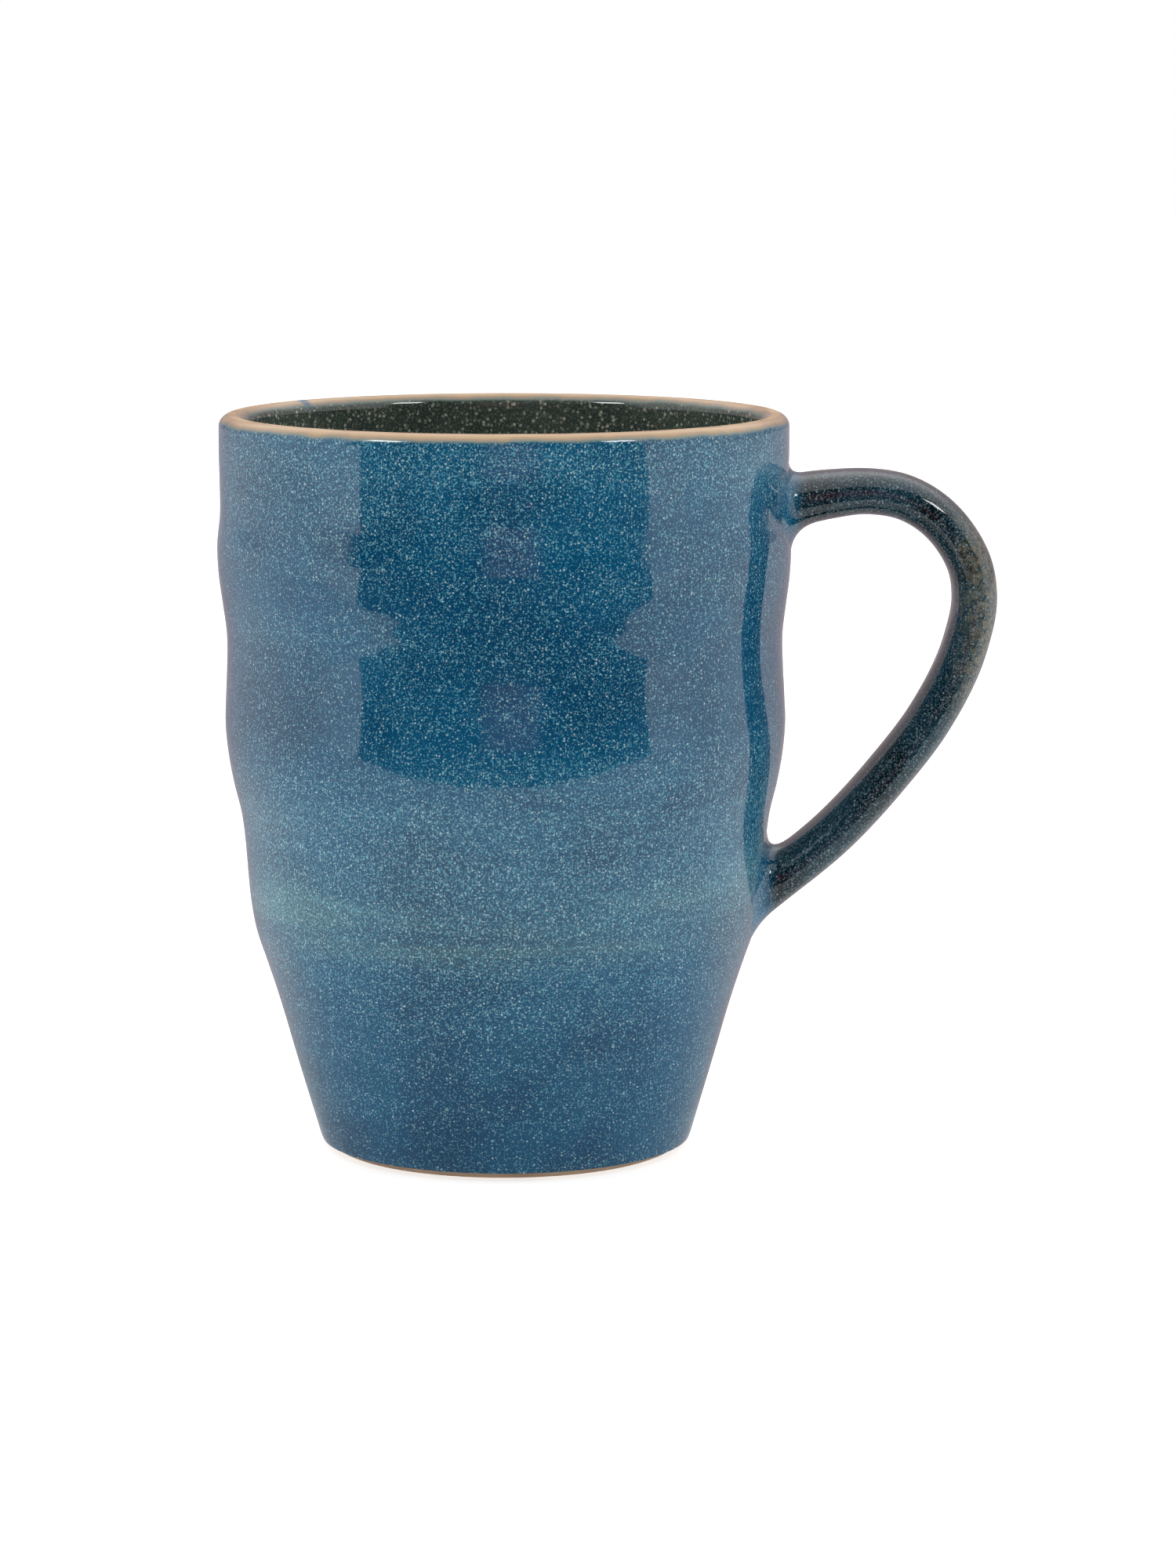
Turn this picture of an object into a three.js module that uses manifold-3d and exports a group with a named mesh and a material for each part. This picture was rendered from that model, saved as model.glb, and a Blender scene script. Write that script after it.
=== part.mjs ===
// A stoneware mug: a cup with soft throwing rings, a strap handle, the slip joints that hold the
// handle on, and the glaze coats over the clay. Millimetres, +Z up. The origin is on the cup's
// axis in the plane of its foot, and the handle points along +X.
import * as THREE from "three";
import { mergeVertices } from "three/addons/utils/BufferGeometryUtils.js";
import Module from "manifold-3d";

// ---------------------------------------------------------------- driving dimensions

// Cup, over the glaze
const HEIGHT = 114; // table to the crest of the lip
const BARREL_RADIUS = 43.7; // under the lip
const HEEL_RADIUS = 29.2; // where the wall leaves the rounded heel
const HEEL_HEIGHT = 3; // height of that place above the table

// Cup, clay
const LIP_WALL = 2.6; // wall at the lip
const HEEL_WALL = 4.4; // wall at the heel
const FLOOR = 5.5; // clay under the drink
const HEEL_ROUND = 3.1; // outside rounding between foot and wall
const INNER_ROUND = 9; // inside rounding between floor and wall
const RING_SPREAD = 4; // how far up and down the inside averages out the throwing rings

// Handle, over the glaze
const UPPER_ROOT_DROP = 13.6; // from the crest of the lip to where the centre line meets the wall
const ROOT_SPAN = 60.65; // height of that place above the one at the lower root
const HANDLE_REACH = 29.8; // furthest centre line from the straight line between the two roots
const HANDLE_THICKNESS = 6.9; // in the plane of the loop
const HANDLE_WIDTH = 15; // across it
const UPPER_SWELL = 0.5; // what the half section gains where it meets the wall
const SWELL_LENGTH = 13; // how far from the wall the gain starts
const SECTION_POWER = 2.4; // 2 is an ellipse, and more is squarer
const UPPER_FILLET = { outside: 2.6, inside: 5 }; // tangent lengths of the slip fillet
const LOWER_FILLET = { outside: 3.6, inside: 6 };
const SLIP_PAD = 0.8; // slip between the handle's end and the wall

// Glaze
const GLAZE = 0.5; // thickness of a coat
const GLAZE_LINE = 1.2; // height above the table where the outside coat stops
const BARE_LIP_FROM = THREE.MathUtils.degToRad(35); // the lip is bare clay above this angle

// Clearance between two pieces that touch
const FIT = 0.3;
const COAT = FIT + GLAZE; // from the clay's surface to the glaze's surface

// Outside of the wall, over the glaze: [share of the height from heel to lip centre, share of
// the way from HEEL_RADIUS to BARREL_RADIUS]. A cone, a belly and three soft throwing rings.
const WALL_STATIONS = [
  [0, 0],
  [0.1, 0.221],
  [0.191, 0.417],
  [0.246, 0.552],
  [0.283, 0.645],
  [0.337, 0.717],
  [0.392, 0.75],
  [0.447, 0.796],
  [0.51, 0.905],
  [0.574, 0.964],
  [0.629, 0.952],
  [0.702, 0.937],
  [0.757, 0.986],
  [0.811, 1.031],
  [0.889, 0.99],
  [0.939, 1.004],
  [1, 1],
];

// Centre line of the handle from the upper root to the lower one: [share of HANDLE_REACH, share
// of the height from the lower root to the upper root].
const HANDLE_STATIONS = [
  [0.214, 1.018],
  [0.408, 1.025],
  [0.598, 1.01],
  [0.758, 0.967],
  [0.88, 0.906],
  [0.968, 0.83],
  [0.999, 0.751],
  [0.973, 0.644],
  [0.81, 0.444],
  [0.614, 0.303],
  [0.372, 0.161],
];

// Fineness of the meshes
const TURN_STEPS = 40;
const WALL_STEPS = 24;
const INSIDE_STEPS = 10;
const ROUND_STEPS = 3;
const HANDLE_STEPS = 24;
const HANDLE_SIDES = 16;
const FILLET_STEPS = 4;
const HALVINGS = 24; // of the search for where a line meets the wall

// ---------------------------------------------------------------- solids

const wasm = await Module();
wasm.setup();

function solidOf(geometry) {
  const bare = geometry.clone();
  bare.deleteAttribute("normal");
  bare.deleteAttribute("uv");
  const merged = mergeVertices(bare);
  return new wasm.Manifold(
    new wasm.Mesh({
      numProp: 3,
      vertProperties: merged.attributes.position.array,
      triVerts: new Uint32Array(merged.index.array),
    }),
  );
}

function geometryOf(solid) {
  const mesh = solid.getMesh();
  const geometry = new THREE.BufferGeometry();
  geometry.setAttribute("position", new THREE.BufferAttribute(mesh.vertProperties, 3));
  geometry.setIndex(new THREE.BufferAttribute(mesh.triVerts, 1));
  geometry.computeVertexNormals();
  return geometry;
}

// A profile of (radius, height) points turned about +Z. One that runs anticlockwise round its
// material, seen with the axis on the left, faces outwards.
function turned(profile) {
  return new THREE.LatheGeometry(profile, TURN_STEPS).rotateX(Math.PI / 2);
}

// A closed skin through rings with the same number of points, with a fan over each end. The
// points of a ring run anticlockwise, seen by someone who looks back along the line of rings.
function lofted(rings) {
  const sides = rings[0].length;
  const last = (rings.length - 1) * sides;
  const points = rings.flat();
  const index = [];
  const ends = [rings[0], rings.at(-1)].map((ring) => points.push(centreOf(ring)) - 1);
  for (let i = 0; i < sides; i++) {
    const next = (i + 1) % sides;
    for (let ring = 0; ring < last; ring += sides) {
      index.push(ring + i, ring + next, ring + next + sides);
      index.push(ring + i, ring + next + sides, ring + i + sides);
    }
    index.push(ends[0], next, i);
    index.push(ends[1], last + i, last + next);
  }
  return new THREE.BufferGeometry().setFromPoints(points).setIndex(index);
}

function centreOf(ring) {
  return ring.reduce((sum, p) => sum.add(p), new THREE.Vector3()).divideScalar(ring.length);
}

// ---------------------------------------------------------------- cup outline

const lipCentre = new THREE.Vector2(BARREL_RADIUS - COAT - LIP_WALL / 2, HEIGHT - LIP_WALL / 2);

const wallCurve = new THREE.CatmullRomCurve3(
  WALL_STATIONS.map(
    ([up, out]) =>
      new THREE.Vector3(
        THREE.MathUtils.lerp(HEEL_RADIUS, BARREL_RADIUS, out),
        THREE.MathUtils.lerp(HEEL_HEIGHT, lipCentre.y, up),
        0,
      ),
  ),
  false,
  "chordal",
);
const wallTable = wallCurve.getPoints(WALL_STATIONS.length * 10);

// Radius of the wall over the glaze at a height, held level past either end.
function wallRadius(z) {
  const above = wallTable.findIndex((p) => p.y >= z);
  if (above === 0) return wallTable[0].x;
  if (above < 0) return wallTable.at(-1).x;
  const [low, high] = [wallTable[above - 1], wallTable[above]];
  return THREE.MathUtils.mapLinear(z, low.y, high.y, low.x, high.x);
}

// Radius of the clay inside, which follows the outside with its rings averaged out.
function insideRadius(z) {
  const soft = (wallRadius(z - RING_SPREAD) + wallRadius(z) + wallRadius(z + RING_SPREAD)) / 3;
  return soft - COAT - THREE.MathUtils.mapLinear(z, HEEL_HEIGHT, lipCentre.y, HEEL_WALL, LIP_WALL);
}

// Points on an arc, by angle above the horizontal.
function arc(centre, radius, from, to, steps) {
  return Array.from({ length: steps + 1 }, (_, i) => {
    const angle = THREE.MathUtils.lerp(from, to, i / steps);
    const spoke = new THREE.Vector2(Math.cos(angle), Math.sin(angle));
    return spoke.multiplyScalar(radius).add(centre);
  });
}

// A line moved sideways, to the right of its direction of travel. The axis stays the axis.
function beside(line, distance) {
  return line.map((p, i) => {
    const before = line[Math.max(i - 1, 0)];
    const after = line[Math.min(i + 1, line.length - 1)];
    const along = after.clone().sub(before).normalize();
    const moved = new THREE.Vector2(p.x + along.y * distance, p.y - along.x * distance);
    return p.x === 0 ? moved.setX(0) : moved;
  });
}

// The clay's outside between heel and lip, going up.
const glazedWall = wallCurve.getSpacedPoints(WALL_STEPS).map((p) => new THREE.Vector2(p.x, p.y));
const wallLine = beside(glazedWall, -COAT);
wallLine.at(-1).set(lipCentre.x + LIP_WALL / 2, lipCentre.y);

// How far the wall leans out just above the heel.
const lean = Math.PI / 2 - wallLine[1].clone().sub(wallLine[0]).angle();
const heelTangent = HEEL_ROUND * (1 - Math.sin(lean));
const heelCentre = new THREE.Vector2(
  wallLine[0].x + (heelTangent - wallLine[0].y) * Math.tan(lean) - HEEL_ROUND * Math.cos(lean),
  HEEL_ROUND,
);

// The clay's inside, going down the wall and then along the floor to the axis.
const innerTangent = FLOOR + INNER_ROUND * (1 - Math.sin(lean));
const innerCentre = new THREE.Vector2(
  insideRadius(innerTangent) - INNER_ROUND * Math.cos(lean),
  FLOOR + INNER_ROUND,
);
const insideLine = Array.from({ length: INSIDE_STEPS }, (_, i) => {
  const z = THREE.MathUtils.lerp(lipCentre.y, innerTangent, (i + 1) / (INSIDE_STEPS + 1));
  return new THREE.Vector2(insideRadius(z), z);
});
const floorLine = [
  ...arc(innerCentre, INNER_ROUND, -lean, -Math.PI / 2, ROUND_STEPS),
  new THREE.Vector2(innerCentre.x / 2, FLOOR),
  new THREE.Vector2(0, FLOOR),
];

// ---------------------------------------------------------------- cup and its glaze

function cupBody() {
  const heel = arc(heelCentre, HEEL_ROUND, -Math.PI / 2, -lean, ROUND_STEPS);
  const lip = arc(lipCentre, LIP_WALL / 2, 0, Math.PI, 2 * ROUND_STEPS);
  const foot = [new THREE.Vector2(0, 0), new THREE.Vector2(heelCentre.x / 2, 0)];
  return turned([...foot, ...heel, ...wallLine, ...lip.slice(1), ...insideLine, ...floorLine]);
}

// A closed profile of a coat that covers a line of clay, on the right of its direction.
function coatOn(line) {
  return [beside(line, FIT), beside(line, COAT)];
}

function wallGlazeAllRound() {
  const start = Math.asin((GLAZE_LINE - HEEL_ROUND) / (HEEL_ROUND + COAT));
  const heel = arc(heelCentre, HEEL_ROUND, start, -lean, 2);
  const lip = arc(lipCentre, LIP_WALL / 2, 0, BARE_LIP_FROM, 2);
  const [near, far] = coatOn([...heel, ...wallLine, ...lip.slice(1)]);
  return turned([...far, ...near.reverse(), far[0].clone()]);
}

function linerGlaze() {
  const lip = arc(lipCentre, LIP_WALL / 2, Math.PI - BARE_LIP_FROM, Math.PI, 2);
  const [near, far] = coatOn([...lip, ...insideLine, ...floorLine]);
  return turned([...near.reverse(), ...far]);
}

// The cup without its hollow, grown outwards, for trimming what stands on its wall.
function filledWall(grow) {
  const line = beside(wallLine, grow);
  const [bottom, top] = [line[0], line.at(-1)].map((p) => new THREE.Vector2(0, p.y));
  return solidOf(turned([bottom, ...line, top]));
}

// ---------------------------------------------------------------- handle

// The plain end of the handle's centre line on the wall, and the point inside the wall that the
// line starts from.
function rootOf(height) {
  return new THREE.Vector3(wallRadius(height), 0, height);
}

function sunkRoot(root, next) {
  const inward = root.clone().sub(next);
  return inward.multiplyScalar(-(COAT + HEEL_WALL) / inward.x).add(root);
}

const upperRoot = rootOf(HEIGHT - UPPER_ROOT_DROP);
const lowerRoot = rootOf(HEIGHT - UPPER_ROOT_DROP - ROOT_SPAN);
const bow = HANDLE_STATIONS.map(([out, up]) => {
  const chord = new THREE.Vector3().lerpVectors(lowerRoot, upperRoot, up);
  return chord.setX(chord.x + HANDLE_REACH * out);
});
const upperStart = sunkRoot(upperRoot, bow[0]);
const lowerStart = sunkRoot(lowerRoot, bow.at(-1));
const handlePath = new THREE.CatmullRomCurve3(
  [upperStart, upperRoot, ...bow, lowerRoot, lowerStart],
  false,
  "centripetal",
);
const pathLength = handlePath.getLength();

// Cosine or sine of an angle, drawn out towards the corners of a rounded rectangle.
function squarer(value) {
  return Math.sign(value) * Math.abs(value) ** (2 / SECTION_POWER);
}

// A point on the handle's surface. along goes from 0 at the upper end of the centre line to 1 at
// the lower end, angle goes round the section from the outside of the loop, and grow moves the
// surface outwards.
function handleSurface(along, angle, grow) {
  const ahead = handlePath.getTangentAt(along);
  const outward = new THREE.Vector3(-ahead.z, 0, ahead.x);
  const fromWall = along * pathLength - upperStart.distanceTo(upperRoot);
  const swell = UPPER_SWELL * (1 - THREE.MathUtils.smoothstep(fromWall, 0, SWELL_LENGTH));
  const point = handlePath.getPointAt(along);
  point.addScaledVector(outward, (HANDLE_THICKNESS / 2 + swell + grow) * squarer(Math.cos(angle)));
  return point.setY((HANDLE_WIDTH / 2 + swell + grow) * squarer(Math.sin(-angle)));
}

const sideAngles = Array.from({ length: HANDLE_SIDES }, (_, i) => (2 * Math.PI * i) / HANDLE_SIDES);

function handleSolid(grow) {
  const rings = Array.from({ length: HANDLE_STEPS + 1 }, (_, i) =>
    sideAngles.map((angle) => handleSurface(i / HANDLE_STEPS, angle, grow)),
  );
  return solidOf(lofted(rings));
}

// ---------------------------------------------------------------- fillets at the roots

const UPPER = { root: upperRoot, end: 0, ahead: 1, fillet: UPPER_FILLET };
const LOWER = { root: lowerRoot, end: 1, ahead: -1, fillet: LOWER_FILLET };

// Where a line along the handle's surface meets the wall, as a share of the centre line.
function meetsWall({ end }, angle, grow) {
  let inWall = end;
  let inAir = 0.5;
  for (let i = 0; i < HALVINGS; i++) {
    const middle = (inWall + inAir) / 2;
    const p = handleSurface(middle, angle, grow);
    if (Math.hypot(p.x, p.y) < wallRadius(p.z) + grow) inWall = middle;
    else inAir = middle;
  }
  return inWall;
}

// Moves a point straight in or out until it is this far from the wall's surface.
function ontoWall(point, distance) {
  const turn = Math.atan2(point.y, point.x);
  const radius = wallRadius(point.z) + distance;
  return point.set(radius * Math.cos(turn), radius * Math.sin(turn), point.z);
}

// The curve of a fillet from the handle's surface to the wall's, tangent to both.
function filletCurve(joint, angle, grow) {
  const share = (1 + Math.cos(angle)) / 2;
  const length = THREE.MathUtils.lerp(joint.fillet.inside, joint.fillet.outside, share);
  const meet = meetsWall(joint, angle, 0);
  const foot = handleSurface(meet, angle, 0);
  const normal = new THREE.Vector3(foot.x, foot.y, 0).normalize();
  const apart = foot.clone().sub(joint.root).projectOnPlane(normal).normalize();
  const onWall = ontoWall(foot.addScaledVector(apart, length + grow), grow);
  const corner = handleSurface(meetsWall(joint, angle, grow), angle, grow);
  const onHandle = handleSurface(meet + (joint.ahead * length) / pathLength, angle, grow);
  return new THREE.QuadraticBezierCurve3(onWall, corner, onHandle);
}

// The fillet round one root as a solid, which also fills the root and goes into the wall.
function filletSolid(joint, grow) {
  const curves = sideAngles.map((angle) => filletCurve(joint, angle, grow));
  const rings = Array.from({ length: FILLET_STEPS + 1 }, (_, i) =>
    curves.map((curve) => curve.getPoint(i / FILLET_STEPS)),
  );
  const sunk = rings[0].map((p) => ontoWall(p.clone(), -COAT - HEEL_WALL / 2));
  rings.unshift(sunk);
  return solidOf(lofted(joint.ahead > 0 ? rings : rings.reverse()));
}

function handleWithFillets(grow) {
  return handleSolid(grow).add(filletSolid(UPPER, grow)).add(filletSolid(LOWER, grow));
}

// ---------------------------------------------------------------- handle, joints and glaze

function handle() {
  return handleSolid(-COAT).subtract(filledWall(FIT + SLIP_PAD + FIT));
}

function handleJoint(joint) {
  const socket = handleSolid(FIT - COAT).subtract(filledWall(FIT + SLIP_PAD));
  return filletSolid(joint, -COAT).subtract(filledWall(FIT)).subtract(socket);
}

function handleGlaze() {
  return handleWithFillets(0).subtract(handleWithFillets(-GLAZE)).subtract(filledWall(FIT));
}

function wallGlaze() {
  return solidOf(wallGlazeAllRound()).subtract(handleWithFillets(FIT));
}

// ---------------------------------------------------------------- the mug

const mug = new THREE.Group();

function place(name, geometry, color, roughness) {
  const material = new THREE.MeshStandardMaterial({ color, roughness, metalness: 0 });
  const mesh = new THREE.Mesh(geometry, material);
  mesh.name = name;
  mug.add(mesh);
}

place("cup_body", cupBody(), "#c9a57c", 0.75);
place("handle", geometryOf(handle()), "#c9a57c", 0.75);
place("upper_handle_joint", geometryOf(handleJoint(UPPER)), "#b8956c", 0.85);
place("lower_handle_joint", geometryOf(handleJoint(LOWER)), "#b8956c", 0.85);
place("wall_glaze", geometryOf(wallGlaze()), "#2f6484", 0.12);
place("liner_glaze", linerGlaze(), "#2a3a42", 0.12);
place("handle_glaze", geometryOf(handleGlaze()), "#24465c", 0.12);

export default mug;
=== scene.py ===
"""A stoneware mug with a speckled reactive glaze, made over its CAD frame. Metres, +Z up."""

import math

import bpy
import numpy as np
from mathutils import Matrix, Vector
from mathutils.bvhtree import BVHTree


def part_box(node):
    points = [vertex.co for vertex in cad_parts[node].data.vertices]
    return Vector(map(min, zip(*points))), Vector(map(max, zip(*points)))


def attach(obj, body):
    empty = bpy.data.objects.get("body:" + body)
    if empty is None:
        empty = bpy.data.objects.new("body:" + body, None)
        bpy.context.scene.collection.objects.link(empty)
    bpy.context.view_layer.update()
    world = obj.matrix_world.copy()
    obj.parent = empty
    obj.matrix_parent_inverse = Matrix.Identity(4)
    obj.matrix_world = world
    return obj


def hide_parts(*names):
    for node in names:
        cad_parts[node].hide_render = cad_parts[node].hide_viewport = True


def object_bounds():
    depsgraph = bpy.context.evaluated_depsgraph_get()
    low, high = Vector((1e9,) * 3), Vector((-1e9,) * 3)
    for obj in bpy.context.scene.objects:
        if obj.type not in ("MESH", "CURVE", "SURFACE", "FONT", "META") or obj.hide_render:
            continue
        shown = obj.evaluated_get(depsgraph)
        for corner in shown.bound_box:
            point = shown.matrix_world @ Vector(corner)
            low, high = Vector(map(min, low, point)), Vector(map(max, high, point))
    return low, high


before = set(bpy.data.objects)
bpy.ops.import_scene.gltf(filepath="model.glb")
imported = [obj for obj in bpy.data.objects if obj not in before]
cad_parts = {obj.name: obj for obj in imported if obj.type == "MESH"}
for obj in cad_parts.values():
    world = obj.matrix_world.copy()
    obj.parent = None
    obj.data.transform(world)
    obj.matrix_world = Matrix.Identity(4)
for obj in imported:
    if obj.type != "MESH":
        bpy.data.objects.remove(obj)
cad_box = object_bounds()

MM = 0.001

# ---------------------------------------------------------------- sizes

# Lip
LIP_HALF_WIDTH = 2.1 * MM
LIP_RISE = 1.9 * MM  # from the widest place of the lip's rounding to its crest
BARE_LIP = math.radians(74)  # how far up the lip's rounding the coats reach

# Heel
HEEL_SLOPE = math.radians(25)  # from level, where the foot's rounding meets the wall

# Coats of glaze
COAT = 0.5 * MM
COAT_EDGE = 0.12 * MM  # what a coat thins to at its edge
COAT_BACK = 0.62 * MM  # from the surface of the glaze to the clay
LIP_THINNING = 3 * MM  # length over which a coat thins towards the lip
FOOT_THINNING = 1.5 * MM  # and towards the foot
COVER_RISE = 1.2  # how far below the coats' edge the clay is fully covered, in lip rises

# Handle, the same shape as the frame's
UPPER_ROOT_DROP = 13.6 * MM
ROOT_SPAN = 60.65 * MM
HANDLE_REACH = 29.8 * MM
HANDLE_THICKNESS = 6.9 * MM
HANDLE_WIDTH = 15 * MM
UPPER_SWELL = 0.5 * MM
SWELL_LENGTH = 13 * MM
SECTION_POWER = 2.4
UPPER_FILLET = {"outside": 2.6 * MM, "inside": 5 * MM}
LOWER_FILLET = {"outside": 3.6 * MM, "inside": 6 * MM}
ROOT_DEPTH = 5 * MM  # how far the centre line goes on inside the wall
FOOT_SINK = 0.06 * MM  # how far a fillet's edge goes below the wall's surface

# Share of the reach, share of the height between the roots, from the upper root to the lower one
HANDLE_LINE = [
    (0.214, 1.018),
    (0.408, 1.025),
    (0.598, 1.01),
    (0.758, 0.967),
    (0.88, 0.906),
    (0.968, 0.83),
    (0.999, 0.751),
    (0.973, 0.644),
    (0.81, 0.444),
    (0.614, 0.303),
    (0.372, 0.161),
]

# The wall isn't quite round: (amplitude, waves round the cup, waves in its height, phase)
WAVER = [(0.09 * MM, 2, 0.5, 0.9), (0.05 * MM, 3, 1.1, -1.7), (0.03 * MM, 5, -1.6, 0.4)]

# Fineness of the meshes
TURN_STEPS = 176
OUTLINE_STEP = 0.9 * MM
OFF_SECTION = 0.01 * MM  # how far off the section's plane a corner still counts as on it
OFF_SURFACE = 0.02 * MM  # how far off the surface a line of sight starts
LIP_STEPS = 14
HEEL_STEPS = 8
HANDLE_SIDES = 56
HANDLE_RINGS = 110
FILLET_RINGS = 12
MEET_HALVINGS = 30
SHARP = math.radians(50)

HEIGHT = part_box("cup_body")[1].z


# ---------------------------------------------------------------- lines


def eased(share):
    """A share, held between 0 and 1, that starts and ends gently."""
    t = np.clip(share, 0, 1)
    return t * t * (3 - 2 * t)


def lengths_along(points):
    """How far along a line each of its points is."""
    return np.concatenate([[0], np.cumsum(np.linalg.norm(np.diff(points, axis=0), axis=1))])


def smooth_line(points, step):
    """A smooth line through points, with about one point for each step of its length."""
    p = np.array(points, float)
    s = lengths_along(p)
    slope = np.gradient(p, s, axis=0)
    at = np.linspace(0, s[-1], max(2, round(s[-1] / step) + 1))
    i = np.clip(np.searchsorted(s, at, side="right") - 1, 0, len(s) - 2)
    length = (s[i + 1] - s[i])[:, None]
    t = (at - s[i])[:, None] / length
    start = (1 + 2 * t) * (1 - t) ** 2 * p[i] + t * (1 - t) ** 2 * length * slope[i]
    end = t**2 * (3 - 2 * t) * p[i + 1] + t**2 * (t - 1) * length * slope[i + 1]
    return start + end


def beside(line, distance):
    """A line moved sideways, to the right of its direction, by one distance or one for each point."""
    ahead = np.gradient(line, axis=0)
    ahead /= np.linalg.norm(ahead, axis=1)[:, None]
    right = np.stack([ahead[:, 1], -ahead[:, 0]], axis=1)
    return line + right * np.broadcast_to(distance, len(line))[:, None]


def lip_arc(start, end, steps):
    """Points on the lip's rounding, by angle up from its outer side."""
    angle = np.linspace(start, end, steps + 1)
    middle = wall_at(HEIGHT - LIP_RISE) - LIP_HALF_WIDTH
    return np.stack(
        [middle + LIP_HALF_WIDTH * np.cos(angle), HEIGHT - LIP_RISE * (1 - np.sin(angle))], axis=1
    )


def seen_points(node, eye):
    """The corners of a turned CAD coat's section, opposite the handle, that can be seen from eye."""
    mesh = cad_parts[node].data
    tree = BVHTree.FromPolygons([v.co for v in mesh.vertices], [p.vertices for p in mesh.polygons])
    seen = set()
    for v in mesh.vertices:
        towards = (eye(v.co) - v.co).normalized()
        on_section = v.co.x <= 0 and abs(v.co.y) < OFF_SECTION
        if on_section and tree.ray_cast(v.co + towards * OFF_SURFACE, towards)[0] is None:
            seen.add((round(-v.co.x, 6), round(v.co.z, 6)))
    return sorted(seen, key=lambda p: (p[1], p[0]))


def far_outside(point):
    """A place level with a point, outside the wall opposite the handle."""
    return Vector((-1, 0, point.z))


def in_the_mouth(_point):
    """The middle of the cup's mouth, whatever the point."""
    return Vector((0, 0, HEIGHT))


# ---------------------------------------------------------------- outlines


def below_lip(points):
    """The points clear of the lip's rounding, which is made as an arc."""
    return [p for p in points if p[1] < HEIGHT - 2 * LIP_RISE]


WALL_LINE = smooth_line(below_lip(seen_points("wall_glaze", far_outside)), OUTLINE_STEP)


def wall_at(z):
    """Radius of the glazed wall at a height, without the waver."""
    return np.interp(z, WALL_LINE[:, 1], WALL_LINE[:, 0])


def waver(turn, z):
    """How far the wall stands out of round at a turn about the axis and a height."""
    return sum(a * np.sin(n * turn + 2 * math.pi * w * z / HEIGHT + p) for a, n, w, p in WAVER)


def outside_line(lip_end):
    """The glazed outside from just above the foot to an angle up the lip's rounding."""
    below = WALL_LINE[WALL_LINE[:, 1] < HEIGHT - LIP_RISE - OUTLINE_STEP]
    return np.concatenate([below, lip_arc(0, lip_end, LIP_STEPS)])


def inside_line(lip_start):
    """The glazed inside from an angle up the lip's rounding to the middle of the floor."""
    points = below_lip(seen_points("liner_glaze", in_the_mouth))
    points.sort(key=lambda p: math.atan2(HEIGHT - p[1], p[0]))
    lip = lip_arc(math.pi - lip_start, math.pi, LIP_STEPS)
    return np.concatenate([lip[:-1], smooth_line([tuple(lip[-1]), *points], OUTLINE_STEP)])


def thinning(line, length):
    """From 0 at the line's first point to 1 beyond that length of it."""
    return eased(lengths_along(line) / length)


# ---------------------------------------------------------------- meshes


def mesh_object(name, points, faces):
    """A smooth-shaded object, with sharp edges where it folds."""
    mesh = bpy.data.meshes.new(name)
    mesh.from_pydata([tuple(p) for p in points], [], faces)
    mesh.validate()
    mesh.shade_smooth()
    mesh.set_sharp_from_angle(angle=SHARP)
    piece = bpy.data.objects.new(name, mesh)
    bpy.context.scene.collection.objects.link(piece)
    return piece


def turned_points(line):
    """Rings of points round the axis, one for each point of a line, with the wall's waver."""
    turn = np.linspace(0, 2 * math.pi, TURN_STEPS, endpoint=False)
    r, z = line[:, 0][:, None], line[:, 1][:, None]
    fade = np.clip(r / wall_at(0), 0, 1)
    radius = r + fade * waver(turn[None, :], z)
    height = np.broadcast_to(z, radius.shape)
    return np.stack([radius * np.cos(turn), radius * np.sin(turn), height], axis=2)


def band(first, second, sides):
    """Faces between two rings of points that start at these indices, with the first one below."""
    return [
        (first + i, first + (i + 1) % sides, second + (i + 1) % sides, second + i)
        for i in range(sides)
    ]


def turned_solid(name, line):
    """A solid from a section that starts and ends on the axis."""
    points = turned_points(line[1:-1]).reshape(-1, 3)
    rings = range(0, len(points), TURN_STEPS)
    faces = [f for a, b in zip(rings, rings[1:]) for f in band(a, b, TURN_STEPS)]
    first, last = len(points), len(points) + 1
    points = np.concatenate([points, [[0, 0, line[0][1]], [0, 0, line[-1][1]]]])
    faces += [(first, (i + 1) % TURN_STEPS, i) for i in range(TURN_STEPS)]
    faces += [(last, rings[-1] + i, rings[-1] + (i + 1) % TURN_STEPS) for i in range(TURN_STEPS)]
    return mesh_object(name, points, faces)


# ---------------------------------------------------------------- handle


def root_at(z):
    """The point (x, z) of the wall's surface in the handle's plane at a height."""
    return np.array([wall_at(z) + waver(0, z), z])


UPPER_ROOT = root_at(HEIGHT - UPPER_ROOT_DROP)
LOWER_ROOT = root_at(HEIGHT - UPPER_ROOT_DROP - ROOT_SPAN)


def handle_line():
    """The handle's centre line in its own plane, from inside the wall to inside the wall."""
    bow = [
        LOWER_ROOT + (UPPER_ROOT - LOWER_ROOT) * up + np.array([HANDLE_REACH * out, 0])
        for out, up in HANDLE_LINE
    ]
    start = UPPER_ROOT + (UPPER_ROOT - bow[0]) * ROOT_DEPTH / (bow[0] - UPPER_ROOT)[0]
    end = LOWER_ROOT + (LOWER_ROOT - bow[-1]) * ROOT_DEPTH / (bow[-1] - LOWER_ROOT)[0]
    return smooth_line([start, UPPER_ROOT, *bow, LOWER_ROOT, end], OUTLINE_STEP / 4)


CENTRES = handle_line()
AHEAD = np.gradient(CENTRES, axis=0)
AHEAD /= np.linalg.norm(AHEAD, axis=1)[:, None]
ALONG = lengths_along(CENTRES)
LENGTH = ALONG[-1]


def squarer(value):
    """A cosine or sine drawn out towards the corners of a rounded rectangle."""
    return math.copysign(abs(value) ** (2 / SECTION_POWER), value)


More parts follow.
